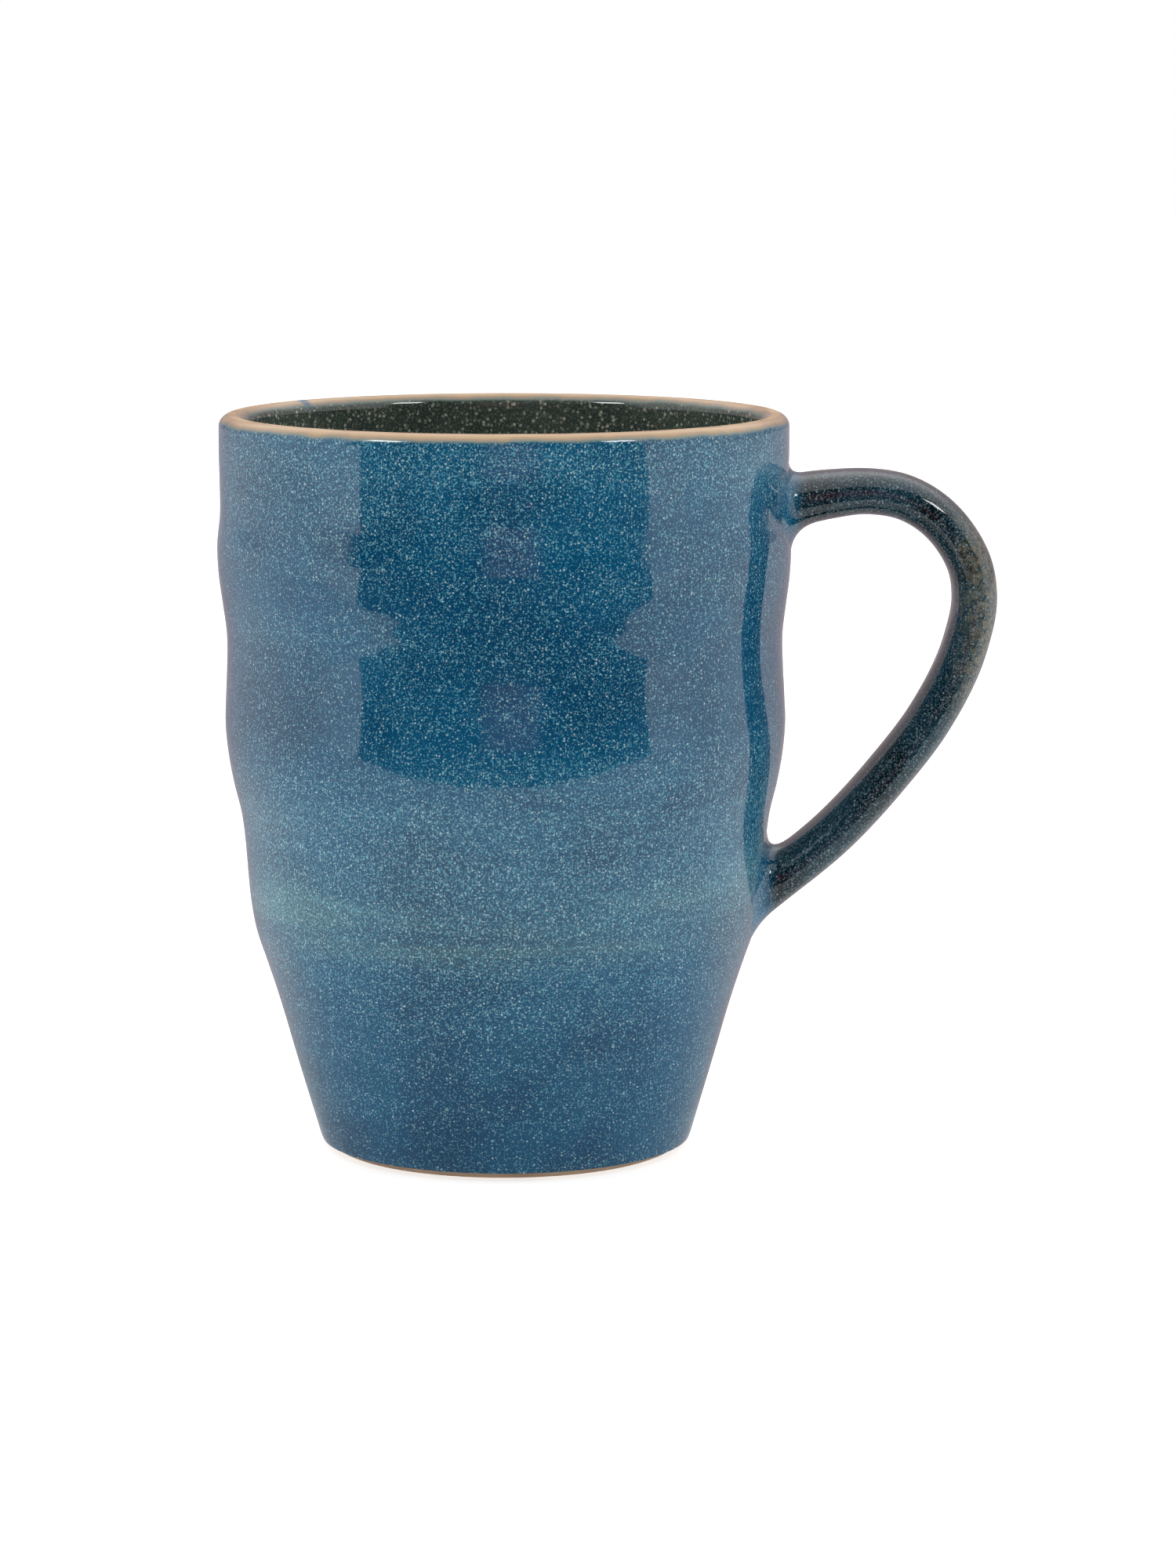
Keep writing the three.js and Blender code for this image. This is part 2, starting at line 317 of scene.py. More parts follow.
def handle_surface(along, angle, grow):
    """A point of the handle, by length along its centre line and angle from the loop's outside."""
    x, z = (np.interp(along, ALONG, CENTRES[:, k]) for k in (0, 1))
    ahead_x, ahead_z = (np.interp(along, ALONG, AHEAD[:, k]) for k in (0, 1))
    swell = UPPER_SWELL * (1 - eased((along - ROOT_DEPTH) / SWELL_LENGTH))
    out = (HANDLE_THICKNESS / 2 + swell + grow) * squarer(math.cos(angle))
    across = (HANDLE_WIDTH / 2 + swell + grow) * squarer(math.sin(angle))
    return Vector((x - ahead_z * out, -across, z + ahead_x * out))


def wall_depth(point):
    """How far a point is inside the wall's glazed surface."""
    turn = math.atan2(point.y, point.x)
    return wall_at(point.z) + waver(turn, point.z) - math.hypot(point.x, point.y)


def onto_wall(point, depth):
    """The point moved straight in or out to that depth in the wall."""
    flat = Vector((point.x, point.y, 0)).normalized()
    return point + flat * (wall_depth(point) - depth)


UPPER = {"root": UPPER_ROOT, "inside_end": 0, "ahead": 1, "fillet": UPPER_FILLET}
LOWER = {"root": LOWER_ROOT, "inside_end": LENGTH, "ahead": -1, "fillet": LOWER_FILLET}


def meets_wall(joint, angle, grow):
    """Where a line along the handle comes out of the wall, as a length of the centre line."""
    in_wall, in_air = joint["inside_end"], LENGTH / 2
    for _ in range(MEET_HALVINGS):
        middle = (in_wall + in_air) / 2
        if wall_depth(handle_surface(middle, angle, grow)) > -grow:
            in_wall = middle
        else:
            in_air = middle
    return in_wall


def fillet_points(joint, angle, grow):
    """Points of a fillet from its edge on the wall to where it joins the handle, and that place."""
    share = (1 + math.cos(angle)) / 2
    fillet = joint["fillet"]
    length = fillet["inside"] + (fillet["outside"] - fillet["inside"]) * share
    meet = meets_wall(joint, angle, 0)
    foot = handle_surface(meet, angle, 0)
    flat = Vector((foot.x, foot.y, 0)).normalized()
    apart = foot - Vector((joint["root"][0], 0, joint["root"][1]))
    apart = (apart - flat * apart.dot(flat)).normalized()
    edge = onto_wall(foot + apart * (length + grow), FOOT_SINK - grow)
    corner = handle_surface(meets_wall(joint, angle, grow), angle, grow)
    joins = meet + joint["ahead"] * length
    end = handle_surface(joins, angle, grow)
    shares = [i / FILLET_RINGS for i in range(FILLET_RINGS + 1)]
    curve = [edge * (1 - t) ** 2 + corner * 2 * t * (1 - t) + end * t * t for t in shares]
    return curve, joins


def handle_rings(grow):
    """Rings of points from the upper fillet's edge to the lower one's."""
    columns = []
    for i in range(HANDLE_SIDES):
        angle = 2 * math.pi * i / HANDLE_SIDES
        upper, start = fillet_points(UPPER, angle, grow)
        lower, end = fillet_points(LOWER, angle, grow)
        between = np.linspace(start, end, HANDLE_RINGS + 1)[1:-1]
        middle = [handle_surface(along, angle, grow) for along in between]
        columns.append([*upper, *middle, *reversed(lower)])
    return [list(ring) for ring in zip(*columns)]


def handle_coat():
    """The handle's coat with its fillets, hollow where the clay handle and the slip are."""
    outer, inner = handle_rings(0), handle_rings(-COAT)
    rings = [*outer, *reversed(inner)]
    points = [p for ring in rings for p in ring]
    starts = range(0, len(points), HANDLE_SIDES)
    faces = [f for a, b in zip(starts, [*starts[1:], 0]) for f in band(a, b, HANDLE_SIDES)]
    return mesh_object("handle_coat", points, faces)


# ---------------------------------------------------------------- cup and its coats


def rim_of(joint):
    """The outline in (y, z) along which the handle comes out of the wall."""
    angles = [2 * math.pi * i / HANDLE_SIDES for i in range(HANDLE_SIDES)]
    points = [handle_surface(meets_wall(joint, a, 0), a, 0) for a in angles]
    return [(p.y, p.z) for p in points]


def in_outline(point, rim):
    """Whether a point is inside a closed outline of (y, z) points, seen along X."""
    crossings = 0
    for (y0, z0), (y1, z1) in zip(rim, [*rim[1:], rim[0]]):
        if (z0 > point.z) != (z1 > point.z):
            crossings += point.y < y0 + (y1 - y0) * (point.z - z0) / (z1 - z0)
    return crossings % 2 == 1


def wall_coat():
    """The outside coat, open where the handle and its slip meet the clay."""
    line = outside_line(BARE_LIP)
    thin = np.minimum(thinning(line, FOOT_THINNING), thinning(line[::-1], LIP_THINNING)[::-1])
    back = beside(line, -(COAT_EDGE + (COAT - COAT_EDGE) * thin))
    outer, inner = turned_points(line), turned_points(back)
    rows = len(line)
    points = [Vector(p) for p in np.concatenate([outer.reshape(-1, 3), inner.reshape(-1, 3)])]
    rims = [rim_of(joint) for joint in (UPPER, LOWER)]
    covered = [
        p.x > 0 and abs(p.y) < HANDLE_WIDTH and any(in_outline(p, rim) for rim in rims)
        for p in points[: rows * TURN_STEPS]
    ]
    outer_faces = [
        f
        for row in range(rows - 1)
        for f in band(row * TURN_STEPS, (row + 1) * TURN_STEPS, TURN_STEPS)
        if not all(covered[i] for i in f)
    ]
    shift = rows * TURN_STEPS
    faces = outer_faces + [tuple(i + shift for i in reversed(f)) for f in outer_faces]
    edges = {(a, b) for f in outer_faces for a, b in zip(f, [*f[1:], f[0]])}
    faces += [(b, a, a + shift, b + shift) for a, b in edges if (b, a) not in edges]
    return mesh_object("wall_coat", *without_strays(points, faces))


def without_strays(points, faces):
    """The points that faces use, and the faces renumbered to match."""
    used = sorted({i for f in faces for i in f})
    number = {old: new for new, old in enumerate(used)}
    return [points[i] for i in used], [tuple(number[i] for i in f) for f in faces]


def liner_coat():
    """The inside coat, from the lip to the middle of the floor."""
    line = inside_line(BARE_LIP)
    thin = thinning(line, LIP_THINNING)
    back = beside(line, -(COAT_EDGE + (COAT - COAT_EDGE) * thin))
    back[-1][0] = 0
    return turned_solid("liner_coat", np.concatenate([back[::-1], line]))


def clay_cup():
    """The clay, which comes up to the glaze's surface where the lip is bare."""
    outer = outside_line(math.pi / 2)
    inner = inside_line(math.pi / 2)
    outer = beside(outer, -COAT_BACK * clay_cover(outer))
    inner = beside(inner, -COAT_BACK * clay_cover(inner))
    inner[-1][0] = 0
    heel = heel_arc(outer[0])
    foot = [[0, 0], [heel[0][0] / 2, 0]]
    return turned_solid("clay_cup", np.concatenate([foot, heel, outer, inner[1:]]))


def heel_arc(top):
    """The rounding from the flat foot up to a point of the clay just above it."""
    angle = np.linspace(-math.pi / 2, -HEEL_SLOPE, HEEL_STEPS)
    radius = top[1] / (1 - math.sin(HEEL_SLOPE))
    middle = top[0] - radius * math.cos(HEEL_SLOPE)
    return np.stack([middle + radius * np.cos(angle), radius * (1 + np.sin(angle))], axis=1)[:-1]


def clay_cover(line):
    """0 where the lip is bare, rising to 1 where the coat is at its full thickness."""
    rise = (HEIGHT - line[:, 1]) / LIP_RISE
    return eased((rise - (1 - math.sin(BARE_LIP))) / COVER_RISE)


# ---------------------------------------------------------------- material nodes


# The colour sockets of a Mix node
MIX_FROM = 6
MIX_TO = 7
MIX_RESULT = 2


class Tree:
    """A node tree, with one short call for each kind of node."""

    def __init__(self, owner, place):
        owner.use_nodes = True
        self.tree = owner.node_tree
        self.place = self.tree.nodes.new("ShaderNodeTexCoord").outputs[place]

    def plug(self, value, socket):
        """Links a socket to another node's output, or gives it a plain value."""
        if isinstance(value, bpy.types.NodeSocket):
            self.tree.links.new(value, socket)
        else:
            socket.default_value = value

    def math(self, operation, a, b=0.0, clamp=False):
        """One sum of two values or outputs."""
        node = self.tree.nodes.new("ShaderNodeMath")
        node.operation = operation
        node.use_clamp = clamp
        self.plug(a, node.inputs[0])
        self.plug(b, node.inputs[1])
        return node.outputs[0]

    def step(self, value, low, high, to_low=0.0, to_high=1.0):
        """Eases from to_low to to_high as value goes from low to high."""
        node = self.tree.nodes.new("ShaderNodeMapRange")
        node.interpolation_type = "SMOOTHSTEP"
        for name, v in (("Value", value), ("From Min", low), ("From Max", high)):
            self.plug(v, node.inputs[name])
        self.plug(to_low, node.inputs["To Min"])
        self.plug(to_high, node.inputs["To Max"])
        return node.outputs[0]

    def axes(self):
        """The coordinates' three numbers."""
        node = self.tree.nodes.new("ShaderNodeSeparateXYZ")
        self.plug(self.place, node.inputs[0])
        return node.outputs


class Nodes(Tree):
    """A material's node tree, in object coordinates, around a Principled shader."""

    def __init__(self, name):
        self.material = bpy.data.materials.new(name)
        super().__init__(self.material, "Object")
        self.shader = self.tree.nodes["Principled BSDF"]

    def mix(self, share, a, b):
        """From colour a to colour b by a share."""
        node = self.tree.nodes.new("ShaderNodeMix")
        node.data_type = "RGBA"
        self.plug(share, node.inputs["Factor"])
        self.plug(a, node.inputs[MIX_FROM])
        self.plug(b, node.inputs[MIX_TO])
        return node.outputs[MIX_RESULT]

    def stretched(self, scale):
        """Object coordinates with a scale for each axis."""
        node = self.tree.nodes.new("ShaderNodeMapping")
        node.inputs["Scale"].default_value = scale
        self.plug(self.place, node.inputs["Vector"])
        return node.outputs[0]

    def noise(self, size, detail, place=None):
        """Soft noise with features of about that size, from 0 to 1 with a mean of a half."""
        node = self.tree.nodes.new("ShaderNodeTexNoise")
        self.plug(place or self.place, node.inputs["Vector"])
        node.inputs["Scale"].default_value = 1 / size
        node.inputs["Detail"].default_value = detail
        return node.outputs["Fac"]

    def cells(self, size):
        """Distance to the nearest of scattered points, in cell widths, and a number for each."""
        node = self.tree.nodes.new("ShaderNodeTexVoronoi")
        self.plug(self.place, node.inputs["Vector"])
        node.inputs["Scale"].default_value = 1 / size
        split = self.tree.nodes.new("ShaderNodeSeparateColor")
        self.plug(node.outputs["Color"], split.inputs[0])
        return node.outputs["Distance"], split.outputs[0]

    def radius(self):
        """Distance from the vertical axis."""
        x, y, _z = self.axes()
        return self.math("SQRT", self.math("ADD", self.math("MULTIPLY", x, x), self.math("MULTIPLY", y, y)))

    def ramp(self, value, stops):
        """Colours along a value, from (place, colour) stops."""
        node = self.tree.nodes.new("ShaderNodeValToRGB")
        elements = node.color_ramp.elements
        while len(elements) < len(stops):
            elements.new(1)
        for element, (at, colour) in zip(elements, stops):
            element.position = at
            element.color = colour
        self.plug(value, node.inputs[0])
        return node.outputs[0]

    def bump(self, height, distance, below=None):
        """A bumped normal, on top of another one if given."""
        node = self.tree.nodes.new("ShaderNodeBump")
        node.inputs["Distance"].default_value = distance
        self.plug(height, node.inputs["Height"])
        if below:
            self.plug(below, node.inputs["Normal"])
        return node.outputs[0]

    def set(self, name, value):
        """Sets or links one of the Principled shader's inputs."""
        self.plug(value, self.shader.inputs[name])


def srgb(r, g, b):
    """A colour from its 0 to 255 display values."""
    return (*(((v / 255 + 0.055) / 1.055) ** 2.4 if v > 10 else v / 255 / 12.92 for v in (r, g, b)), 1)


def grey(value):
    """A grey by its linear value."""
    return (value, value, value, 1)


# ---------------------------------------------------------------- glazes and clay

BLUE_DEEP = srgb(2, 58, 90)
BLUE_SOFT = srgb(6, 72, 105)
BLUE_MILK = srgb(66, 118, 144)
BLUE_GRAIN = srgb(100, 168, 184)
BLUE_SPECK = srgb(190, 220, 220)
DARK_DEEP = srgb(50, 64, 60)
DARK_SOFT = srgb(68, 80, 75)
DARK_GRAIN = srgb(140, 144, 126)
DARK_SPECK = srgb(212, 210, 190)
HANDLE_DEEP = srgb(2, 14, 20)
HANDLE_SOFT = srgb(10, 42, 54)
HANDLE_GRAIN = srgb(100, 128, 138)
HANDLE_SPECK = srgb(160, 176, 182)
KNEE_GREEN = srgb(96, 128, 110)
BREAK_EDGE = srgb(118, 132, 126)
BREAK_OLIVE = srgb(158, 146, 118)
BREAK_TAN = srgb(168, 142, 114)
BREAK_BARE = srgb(196, 164, 128)
BLUE_DRIP = srgb(30, 92, 124)
DRIP_PLACE = (-32.7 * MM, 25.6 * MM, 112.6 * MM)
DRIP_RADIUS = 1.9 * MM
CLAY_FOOT = srgb(112, 88, 66)
CLAY_PALE = srgb(198, 168, 134)
CLAY_WARM = srgb(168, 134, 100)
CLAY_IRON = srgb(120, 84, 56)
GLAZE_IOR = 1.5
BLUE_ROUGHNESS = (0.035, 0.07)
DARK_ROUGHNESS = (0.04, 0.09)
CLAY_ROUGHNESS = (0.42, 0.62)

# Sizes of the noise that breaks up each colour
BLUE_CLOUD = 16 * MM
DARK_CLOUD = 12 * MM
HANDLE_CLOUD = 9 * MM
CLAY_CLOUD = 7 * MM
CLAY_SAND = 0.35 * MM
STREAK_SCALE = (16, 16, 190)  # long round the cup and short in its height

# Crystals: a fine grain, and cells that hold at most one speck each
GRAIN_SIZE = 0.27 * MM
BLUE_CELL = 0.52 * MM
DARK_CELL = 1.0 * MM
HANDLE_CELL = 0.56 * MM
IRON_CELL = 1.6 * MM
SMALL_CELL = 0.66  # of a large speck's cell
LARGE_SPECK = (0.12, 0.38)  # from core to edge, in cell widths
SMALL_SPECK = (0.16, 0.48)
IRON_SPECK = (0.08, 0.2)
EVEN_AMOUNT = 0.5  # of the crystals inside and on the handle
DARK_AMOUNT = 0.62  # of the specks inside
BLUE_SHOWS = (0.58, 0.75)  # how strongly the grain and the specks show
DARK_SHOWS = (0.5, 0.85)
HANDLE_SHOWS = (0.5, 0.6)
IRON_SHOWS = 0.7

# Relief of the glaze
UNDULATION_SIZE = 14 * MM
UNDULATION_RELIEF = 0.2 * MM
RIPPLE_SIZE = 5 * MM
RIPPLE_RELIEF = 0.025 * MM
RING_SCALE = (14, 14, 420)
RING_RELIEF = 0.012 * MM
SPECK_RELIEF = 0.004 * MM
SAND_RELIEF = 0.02 * MM

# Where the glaze breaks at the lip, from first to full, below the crest
BLUE_BREAK = (1.7 * MM, 0.15 * MM)
DARK_BREAK = (1.5 * MM, -0.1 * MM)
BREAK_WOBBLE_SIZE = 5 * MM
BREAK_WOBBLE = 0.9 * MM

# Where the glaze breaks over the handle's outermost bend
BEND_DEPTH = 5 * MM
BEND_RAGGED = 6 * MM
BEND_RAGGED_SIZE = 1.6 * MM
BEND_GRAIN_SIZE = 0.9 * MM

# The knee, by share of the height, and how near the wall the handle's glaze is blue
KNEE_START = (0.29, 0.33)
KNEE_END = (0.35, 0.43)
BLUE_REACH = (0.3 * MM, 3.2 * MM)
CLAY_DARK_REACH = (1 * MM, 4 * MM)

# How thickly crystals lie, by share of the height: sparse in the hollows, dense over the knee
CRYSTAL_DENSITY = [
    (0.0, 0.3),
    (0.24, 0.38),
    (0.36, 0.62),
    (0.5, 0.58),
    (0.58, 0.42),
    (0.7, 0.32),
    (0.84, 0.4),
    (0.95, 0.52),
]


def clouded(n, cloud, colour, other):
    """Two colours that run into each other in clouds."""
    return n.mix(n.step(cloud, 0.35, 0.65), colour, other)


def grain(n, amount):
    """Fine irregular crystals all through the glaze, thicker where amount is higher."""
    fine = n.noise(GRAIN_SIZE, 1.0)
    low = n.math("SUBTRACT", 0.6, n.math("MULTIPLY", amount, 0.2))
    return n.step(fine, low, n.math("ADD", low, 0.18))


def specks(n, amount, size):
    """Single crystals of two sizes. amount is the share of the cells that hold one."""
    empty = n.math("SUBTRACT", 1, amount)
    far, number = n.cells(size)
    large = n.math("MULTIPLY", n.step(far, *LARGE_SPECK, 1, 0), n.step(number, empty, 1.05))
    near, other = n.cells(size * SMALL_CELL)
    small = n.math("MULTIPLY", n.step(near, *SMALL_SPECK, 1, 0), n.step(other, empty, 1.2))
    return n.math("MAXIMUM", large, small)


def with_crystals(n, base, amount, spots, colours, shows):
    """A colour under its grain and its specks."""
    colour = n.mix(n.math("MULTIPLY", grain(n, amount), shows[0]), base, colours[0])
    return n.mix(n.math("MULTIPLY", spots, shows[1]), colour, colours[1])


def glaze_bump(n, spots):
    """Slow undulation, finer ripple, faint throwing rings, and the crystals standing up a little."""
    slow = n.bump(n.noise(UNDULATION_SIZE, 1.0), UNDULATION_RELIEF)
    ripple = n.bump(n.noise(RIPPLE_SIZE, 1.0), RIPPLE_RELIEF, slow)
    rings = n.bump(n.noise(1, 1.0, n.stretched(RING_SCALE)), RING_RELIEF, ripple)
    return n.bump(spots, SPECK_RELIEF, rings)


def lip_break(n, colour, start, end):
    """The glaze thinning to tan near the lip's crest, between two distances below it."""
    waves = n.math("SUBTRACT", n.noise(BREAK_WOBBLE_SIZE, 3.0), 0.5)
    up = n.math("ADD", n.axes()[2], n.math("MULTIPLY", waves, BREAK_WOBBLE))
    reach = n.step(up, HEIGHT - start, HEIGHT - end)
    broken = n.ramp(
        reach, [(0.0, BREAK_EDGE), (0.4, BREAK_EDGE), (0.75, BREAK_TAN), (1.0, BREAK_BARE)]
    )
    return n.mix(n.step(reach, 0.05, 0.5), colour, broken)


def with_drip(n, colour):
    """A drip of the blue glaze over the back left of the lip."""
    apart = [
        n.math("DIVIDE", n.math("SUBTRACT", at, middle), DRIP_RADIUS)
        for at, middle in zip(n.axes(), DRIP_PLACE)
    ]
    squares = [n.math("MULTIPLY", d, d) for d in apart]
    off = n.math("ADD", n.math("ADD", squares[0], squares[1]), squares[2])
    return n.mix(n.step(off, 0.5, 1.2, 0.9, 0), colour, BLUE_DRIP)


def knee(n, height):
    """1 over the knee, where the wall turns in towards the foot and the glaze runs thin."""
    return n.math("MULTIPLY", n.step(height, *KNEE_START), n.step(height, *KNEE_END, 1, 0))


def glazed(n, colour, cloud, roughness, spots):
    """The finished material: the colour under a clear gloss that is a little uneven."""
    n.set("Base Color", colour)
    n.set("Roughness", n.step(cloud, 0.3, 0.7, *roughness))
    n.set("Normal", glaze_bump(n, spots))
    n.set("IOR", GLAZE_IOR)
    return n.material


def blue_glaze():
    """The outside glaze: deep blue under bands of pale crystals."""
    n = Nodes("blue_reactive_glaze")
    height = n.math("DIVIDE", n.axes()[2], HEIGHT)
    streaks = n.noise(1, 3.0, n.stretched(STREAK_SCALE))
    cloud = n.noise(BLUE_CLOUD, 3.0)
    density = n.ramp(height, [(at, grey(value)) for at, value in CRYSTAL_DENSITY])
    amount = n.math("ADD", density, n.math("MULTIPLY", n.math("SUBTRACT", streaks, 0.5), 0.6), clamp=True)
    base = clouded(n, cloud, BLUE_DEEP, BLUE_SOFT)
    base = n.mix(n.step(amount, 0.4, 0.95, 0, 0.34), base, BLUE_MILK)
    green = n.math("MULTIPLY", knee(n, height), n.step(streaks, 0.4, 0.6, 0.04, 0.22))
    base = n.mix(green, base, KNEE_GREEN)
    spots = specks(n, amount, BLUE_CELL)
    colour = with_crystals(n, base, amount, spots, (BLUE_GRAIN, BLUE_SPECK), BLUE_SHOWS)
    colour = lip_break(n, colour, *BLUE_BREAK)
    return glazed(n, colour, cloud, BLUE_ROUGHNESS, spots)


def dark_glaze():
    """The inside glaze: dark olive with tan-grey crystals."""
    n = Nodes("dark_liner_glaze")
    cloud = n.noise(DARK_CLOUD, 3.0)
    spots = specks(n, DARK_AMOUNT, DARK_CELL)
    base = clouded(n, cloud, DARK_DEEP, DARK_SOFT)
    colour = with_crystals(n, base, EVEN_AMOUNT, spots, (DARK_GRAIN, DARK_SPECK), DARK_SHOWS)
    colour = with_drip(n, lip_break(n, colour, *DARK_BREAK))
    return glazed(n, colour, cloud, DARK_ROUGHNESS, spots)


def near_wall(n):
    """1 on the fillets next to the wall, falling to 0 on the handle."""
    wall = n.step(n.axes()[2], LOWER_ROOT[1], UPPER_ROOT[1], LOWER_ROOT[0], UPPER_ROOT[0])
    return n.step(n.math("SUBTRACT", n.radius(), wall), *BLUE_REACH, 1, 0)


def outer_bend(n):
    """How far the glaze breaks to olive, in grains, over the handle's outermost bend."""
    ragged = n.math("MULTIPLY", n.noise(BEND_RAGGED_SIZE, 3.0), BEND_RAGGED)
    outermost = cad_box[1][0]
    bend = n.step(n.math("ADD", n.axes()[0], ragged), outermost - BEND_DEPTH, outermost, 0, 0.3)
    return n.math("MULTIPLY", bend, n.step(n.noise(BEND_GRAIN_SIZE, 3.0), 0.4, 0.6, 0.25, 1))


def handle_glaze():
    """The handle's glaze: nearly black, running into the wall's blue at the fillets."""
    n = Nodes("handle_reactive_glaze")
    cloud = n.noise(HANDLE_CLOUD, 3.0)
    spots = specks(n, EVEN_AMOUNT, HANDLE_CELL)
    root = near_wall(n)
    base = n.mix(root, clouded(n, cloud, HANDLE_DEEP, HANDLE_SOFT), BLUE_SOFT)
    colours = (n.mix(root, HANDLE_GRAIN, BLUE_GRAIN), HANDLE_SPECK)
    colour = with_crystals(n, base, EVEN_AMOUNT, spots, colours, HANDLE_SHOWS)
    colour = n.mix(outer_bend(n), colour, BREAK_OLIVE)
    return glazed(n, colour, cloud, DARK_ROUGHNESS, spots)


def bare_clay():
    """Fired stoneware with iron specks, darker at the foot."""
    n = Nodes("bare_stoneware")
    cloud = n.noise(CLAY_CLOUD, 4.0)
    sand = n.noise(CLAY_SAND, 2.0)
    far, number = n.cells(IRON_CELL)
    iron = n.math("MULTIPLY", n.step(far, *IRON_SPECK, 1, 0), n.step(number, 0.8, 0.95))
    colour = n.mix(n.step(cloud, 0.3, 0.7), CLAY_PALE, CLAY_WARM)
    colour = n.mix(n.math("MULTIPLY", iron, IRON_SHOWS), colour, CLAY_IRON)
    foot = n.step(n.axes()[2], *CLAY_DARK_REACH, 0.6, 0)
    n.set("Base Color", with_drip(n, n.mix(foot, colour, CLAY_FOOT)))
    n.set("Roughness", n.step(sand, 0.2, 0.8, *CLAY_ROUGHNESS))
    n.set("Normal", n.bump(sand, SAND_RELIEF))
    return n.material


# ---------------------------------------------------------------- stage

FLOOR_SIDE = 4
FLOOR_DROP = 0.02 * MM
FLOOR_ALBEDO = 0.86
FLOOR_GLOW = 0.46
FLOOR_ROUGHNESS = 0.9

# Cards that only the glaze's reflections see, black or glowing: painted reflections
CARD_LIFT = 0.1 * MM
TABLE_FRONT = -0.185
FRONT_HALF_ANGLE = math.radians(58)
FRONT_ALBEDO = 0.02
BACK_COLOURS = [(0.0, (0.34, 0.28, 0.3, 1)), (1.0, (1, 1, 1, 1))]
BACK_ANGLES = (math.radians(20), math.radians(84))
FOOT_SHADOW_FADE = (0.025, 0.13)  # distances from the axis between which the painted shadow round the foot fades and the table brightens
FOOT_SHADOW_GLOW = 0.42
FIGURE_FRONT = -0.85
FIGURE_LEFT = -0.18
FIGURE_RIGHT = 0.27
FIGURE_TOP = 0.62
FIGURE_CORE = 0.08  # half width of its brightest part
FIGURE_GLOW = 0.44
ROSE = (1, 0.26, 0.36, 1)

# The tent. Angles go round from the middle of its opening in front
TENT_LIGHT = 1.25
OPENING_LIGHT = 0.02
OPENING_TURN = math.radians(3)
OPENING_SIDES = (math.radians(56), math.radians(65))
OPENING_TOP = (math.sin(math.radians(50)), math.sin(math.radians(65)))
DIM_SIDES = (math.radians(84), math.radians(150))
DIM_TOP = (0.2, 0.6)
DIMMING = 0.9
MAUVE_LOSS = (0.0, 0.16, 0.12)  # what the dimmed tent behind loses in red, green and blue

LAMP_DISTANCE = 1.2
LAMP_ELEVATION = math.radians(42)
CAMERA_PLACE = (0.0128, -0.7554, 0.1708)
CAMERA_DOWN = math.radians(8.61)
CAMERA_LENS = 113.2
SENSOR = 36


def floor():
    """The plain pale floor."""
    side = FLOOR_SIDE
    corners = [(-side, -side, 0), (side, -side, 0), (side, side, 0), (-side, side, 0)]
    piece = mesh_object("floor", corners, [(0, 1, 2, 3)])
    piece.location.z = -FLOOR_DROP
    n = Nodes("pale_floor")
    n.set("Base Color", grey(FLOOR_ALBEDO))
    n.set("Emission Color", grey(1))
    n.set("Emission Strength", FLOOR_GLOW)
    n.set("Roughness", FLOOR_ROUGHNESS)
    n.set("Specular IOR Level", 0.0)
    piece.data.materials.append(n.material)


def card(name, corners, material):
    """A card that only reflections see."""
    piece = mesh_object(name, corners, [(0, 1, 2, 3)])
    piece.data.materials.append(material)
    piece.visible_camera = False
    piece.visible_diffuse = False
    piece.visible_shadow = False


def on_table(near, far, half_angle):
    """Corners of a card flat on the table that widens away from the mug."""
    spread, lift = math.tan(half_angle), 2 * CARD_LIFT
    return [
        (-near * spread, near, lift),
        (-far * spread, far, lift),
        (far * spread, far, lift),
        (near * spread, near, lift),
    ]


def front_card():
    """The dark table edge in front, as a black card that only reflections see: a painted dark reflection in
    the glaze.
    """
    n = Nodes("front_card")
    n.set("Base Color", grey(FRONT_ALBEDO))
    card("front_card", on_table(TABLE_FRONT, -FLOOR_SIDE, FRONT_HALF_ANGLE), n.material)


def table_card():
    """A glowing card that only reflections see: a painted reflection of the table, darker behind the mug,
    with a painted shadow close to its foot.
    """
    n = Nodes("table_card")
    n.set("Base Color", grey(0.0))
    x, y, _z = n.axes()
    turn = n.math("ABSOLUTE", n.math("ARCTAN2", x, y))
    n.set("Emission Color", n.ramp(n.step(turn, *BACK_ANGLES), BACK_COLOURS))
    # Painted shadow: the glow is weaker close to the foot, like the mug's contact shadow on the table seen
    # in the glaze.
    n.set("Emission Strength", n.step(n.radius(), *FOOT_SHADOW_FADE, FOOT_SHADOW_GLOW, 1))
    near, far, side, lift = TABLE_FRONT, FLOOR_SIDE, FLOOR_SIDE, CARD_LIFT
    corners = [(-side, near, lift), (side, near, lift), (side, far, lift), (-side, far, lift)]
    card("table_card", corners, n.material)


def camera_card():
    """A painted reflection of the dim reddish figure of the camera: a glowing card that only reflections
    see, upright behind the lens.
    """
    n = Nodes("camera_card")
    n.set("Base Color", grey(0.0))
    n.set("Emission Color", ROSE)
    near, left, right, top = FIGURE_FRONT, FIGURE_LEFT, FIGURE_RIGHT, FIGURE_TOP
    off = n.math("ABSOLUTE", n.math("SUBTRACT", n.axes()[0], (left + right) / 2))
    n.set("Emission Strength", n.step(off, FIGURE_CORE, (right - left) / 2, FIGURE_GLOW, 0))
    corners = [(left, near, 0), (right, near, 0), (right, near, top), (left, near, top)]
    card("camera_card", corners, n.material)


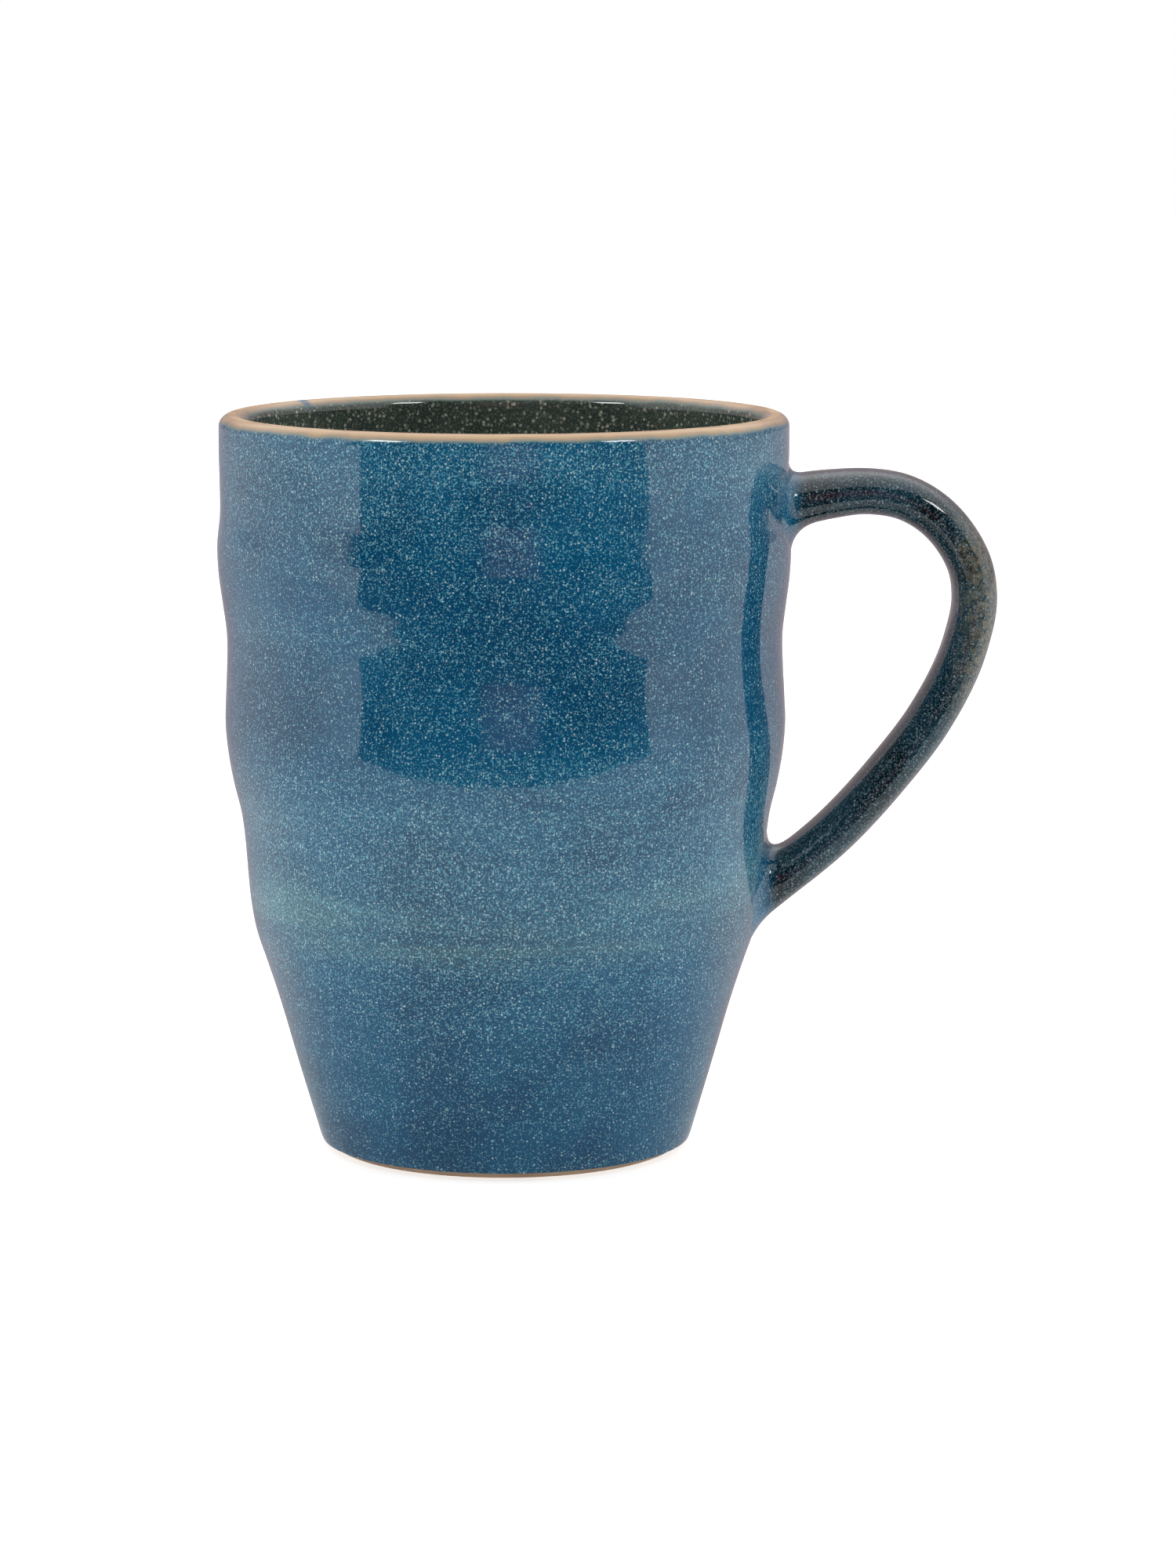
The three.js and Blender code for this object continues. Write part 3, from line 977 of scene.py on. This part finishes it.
def surround():
    """A white tent round the mug, with a dark opening in front for the camera."""
    world = bpy.data.worlds.new("white_tent")
    bpy.context.scene.world = world
    n = Tree(world, "Generated")
    x, y, z = n.axes()
    turn = n.math("ARCTAN2", x, n.math("MULTIPLY", y, -1.0))
    off_middle = n.math("ABSOLUTE", n.math("ADD", turn, OPENING_TURN))
    outside_opening = n.math("MAXIMUM", n.step(off_middle, *OPENING_SIDES), n.step(z, *OPENING_TOP))
    low = n.math("SUBTRACT", 1.0, n.step(z, *DIM_TOP))
    dimmed = n.math("MULTIPLY", n.step(off_middle, *DIM_SIDES), low)
    tent = n.math("SUBTRACT", TENT_LIGHT, n.math("MULTIPLY", dimmed, DIMMING))
    lit = n.math("ADD", n.math("MULTIPLY", outside_opening, tent), OPENING_LIGHT)
    seen = n.tree.nodes.new("ShaderNodeLightPath").outputs["Is Camera Ray"]
    colour = n.tree.nodes.new("ShaderNodeCombineColor")
    for channel, loss in enumerate(MAUVE_LOSS):
        share = n.math("SUBTRACT", 1.0, n.math("MULTIPLY", dimmed, loss))
        n.plug(n.math("MAXIMUM", n.math("MULTIPLY", lit, share), seen), colour.inputs[channel])
    n.plug(colour.outputs[0], n.tree.nodes["Background"].inputs["Color"])


def lamp(name, azimuth, width, height, power):
    """A small soft lamp aimed at the mug. azimuth goes from the front towards the handle."""
    a, e = math.radians(azimuth), LAMP_ELEVATION
    away = Vector((math.sin(a) * math.cos(e), -math.cos(a) * math.cos(e), math.sin(e)))
    light = bpy.data.lights.new(name, "AREA")
    light.shape = "RECTANGLE"
    light.size = width
    light.size_y = height
    light.energy = power
    light.use_shadow = False
    piece = bpy.data.objects.new(name, light)
    piece.location = Vector((0, 0, HEIGHT / 2)) + away * LAMP_DISTANCE
    piece.rotation_euler = away.to_track_quat("Z", "Y").to_euler()
    bpy.context.scene.collection.objects.link(piece)


def camera():
    """The camera at the photograph's viewing angle."""
    data = bpy.data.cameras.new("camera")
    data.lens = CAMERA_LENS
    data.sensor_width = SENSOR
    piece = bpy.data.objects.new("camera", data)
    piece.location = CAMERA_PLACE
    piece.rotation_euler = (math.pi / 2 - CAMERA_DOWN, 0, 0)
    bpy.context.scene.collection.objects.link(piece)
    bpy.context.scene.camera = piece


# ---------------------------------------------------------------- the mug


def finish_piece(piece, node, material):
    """Gives a piece its material and its place in the frame."""
    piece.data.materials.append(material)
    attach(piece, "root")
    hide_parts(node)


clay = bare_clay()
camera()
finish_piece(clay_cup(), "cup_body", clay)
finish_piece(wall_coat(), "wall_glaze", blue_glaze())
finish_piece(liner_coat(), "liner_glaze", dark_glaze())
finish_piece(handle_coat(), "handle_glaze", handle_glaze())
for hidden in ("handle", "upper_handle_joint", "lower_handle_joint"):
    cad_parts[hidden].data.materials.clear()
    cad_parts[hidden].data.materials.append(clay)

floor()
front_card()
table_card()
camera_card()
surround()
lamp("left_lamp", azimuth=-56, width=0.26, height=0.2, power=3.0)
lamp("right_lamp", azimuth=54, width=0.24, height=0.2, power=2.6)
bpy.context.scene.view_settings.view_transform = "Standard"
